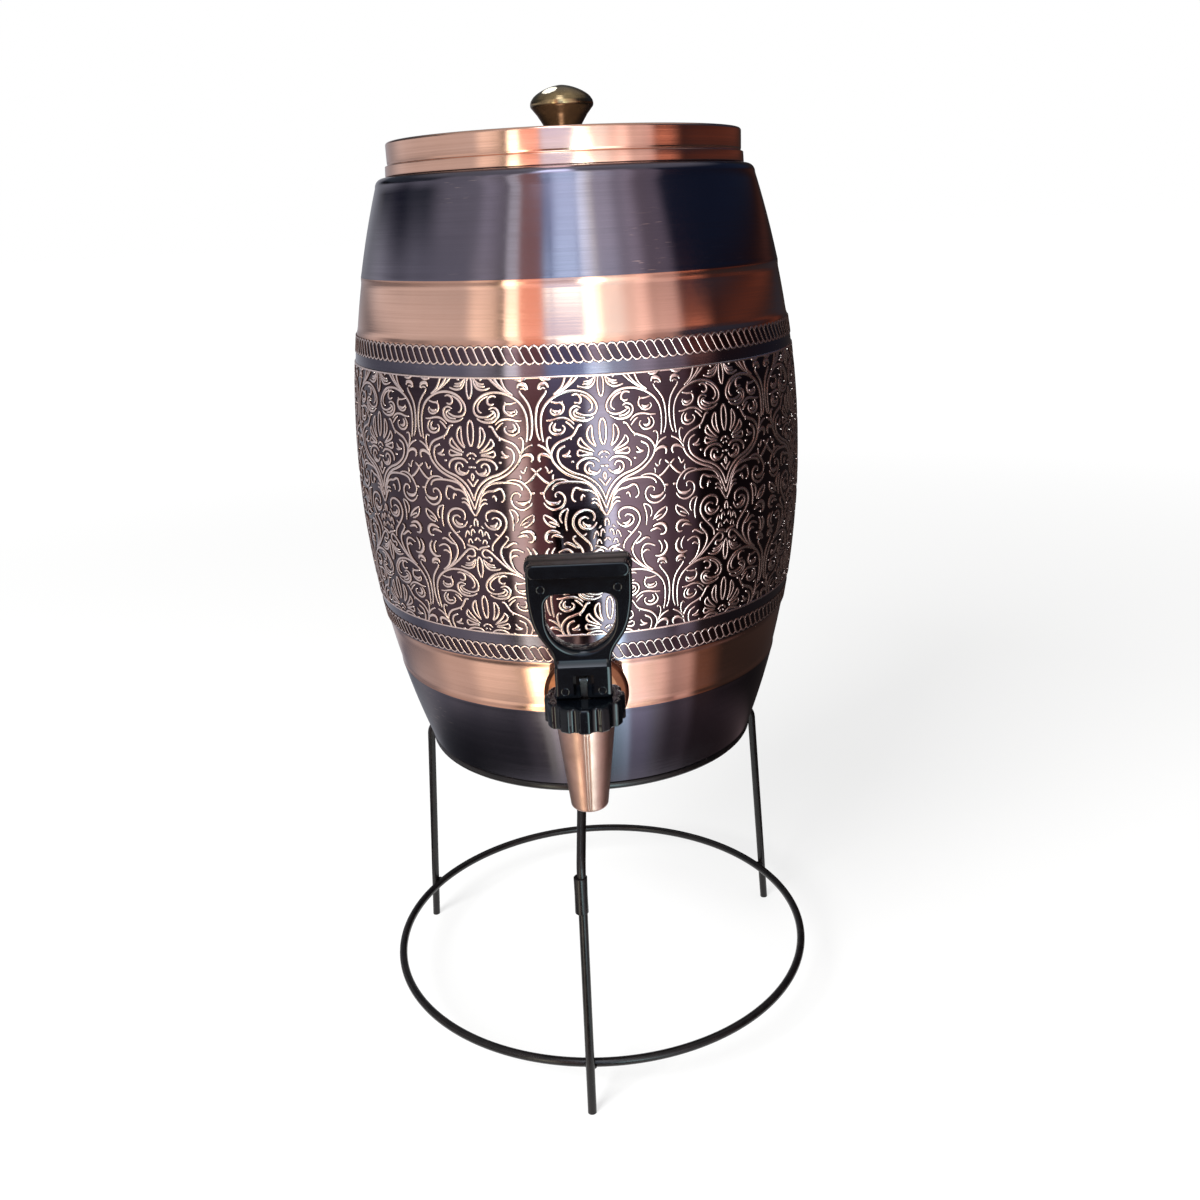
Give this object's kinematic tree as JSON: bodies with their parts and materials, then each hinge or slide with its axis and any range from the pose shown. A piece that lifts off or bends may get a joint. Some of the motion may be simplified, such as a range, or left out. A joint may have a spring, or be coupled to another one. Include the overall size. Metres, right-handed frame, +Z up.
{
  "type": "water dispenser",
  "caption": "Bulged copper barrel with engraved bands, a lift-off lid with a turned knob and a lever tap, standing on a wire stand of bent legs and rings.",
  "frame": {"origin": "on the barrel's axis, in the plane that the stand's feet rest on", "axes": "+Z up along the barrel's axis, -Y towards the tap, +X to the right as seen from the tap side"},
  "size_m": [0.2242, 0.274, 0.4573],
  "materials": {
    "black_wire": "black gloss paint on wire",
    "dark_copper": "oxidised dark copper, brushed round",
    "bright_copper": "brushed and polished copper",
    "aged_brass": "aged turned brass",
    "steel": "plain steel",
    "gasket_rubber": "black rubber",
    "white_nylon": "white nylon",
    "coppered_plastic": "copper-plated plastic",
    "black_plastic": "black gloss plastic",
    "silicone": "food silicone"
  },
  "bodies": {
    "stand": {"stand_top_ring": "black_wire", "stand_base_ring": "black_wire", "leg_front": "black_wire", "leg_front_stub": "black_wire", "leg_sleeve": "black_wire", "leg_left": "black_wire", "leg_right": "black_wire"},
    "vessel": {"barrel_shell": "dark_copper", "base_plate": "dark_copper", "mouth_neck": "bright_copper", "tap_escutcheon": "bright_copper", "outer_gasket": "gasket_rubber", "inner_gasket": "gasket_rubber", "shank_nut": "white_nylon", "tap_body": "coppered_plastic", "bonnet_cap": "black_plastic", "return_spring": "steel"},
    "lid": {"lid_cap": "bright_copper", "lid_knob": "aged_brass", "knob_washer": "aged_brass", "knob_screw": "steel"},
    "valve": {"valve_stem": "black_plastic", "seat_cup": "silicone", "lever_pin": "steel"},
    "lever": {"lever": "black_plastic"}
  },
  "joints": [
    {"name": "vessel_lift", "type": "slide", "parent": "stand", "child": "vessel", "axis": [0, 0, 1], "range_m": [0, 0.2]},
    {"name": "lid_lift", "type": "slide", "parent": "vessel", "child": "lid", "axis": [0, 0, 1], "range_m": [0, 0.15]},
    {"name": "stem_lift", "type": "slide", "parent": "vessel", "child": "valve", "axis": [0, 0, 1], "range_m": [0, 0.0026], "deforming": ["return_spring"]},
    {"name": "lever_tilt", "type": "hinge", "parent": "valve", "child": "lever", "pos_m": [0, -0.14617, 0.233], "axis": [1, 0, 0], "range_deg": [0, 35], "stiffness_Nm_per_rad": 0.0192, "springref_deg": -57.3}
  ],
  "couplings": [
    {"joint": "stem_lift", "follows": "lever_tilt", "m_per_rad": 0.004}
  ]
}
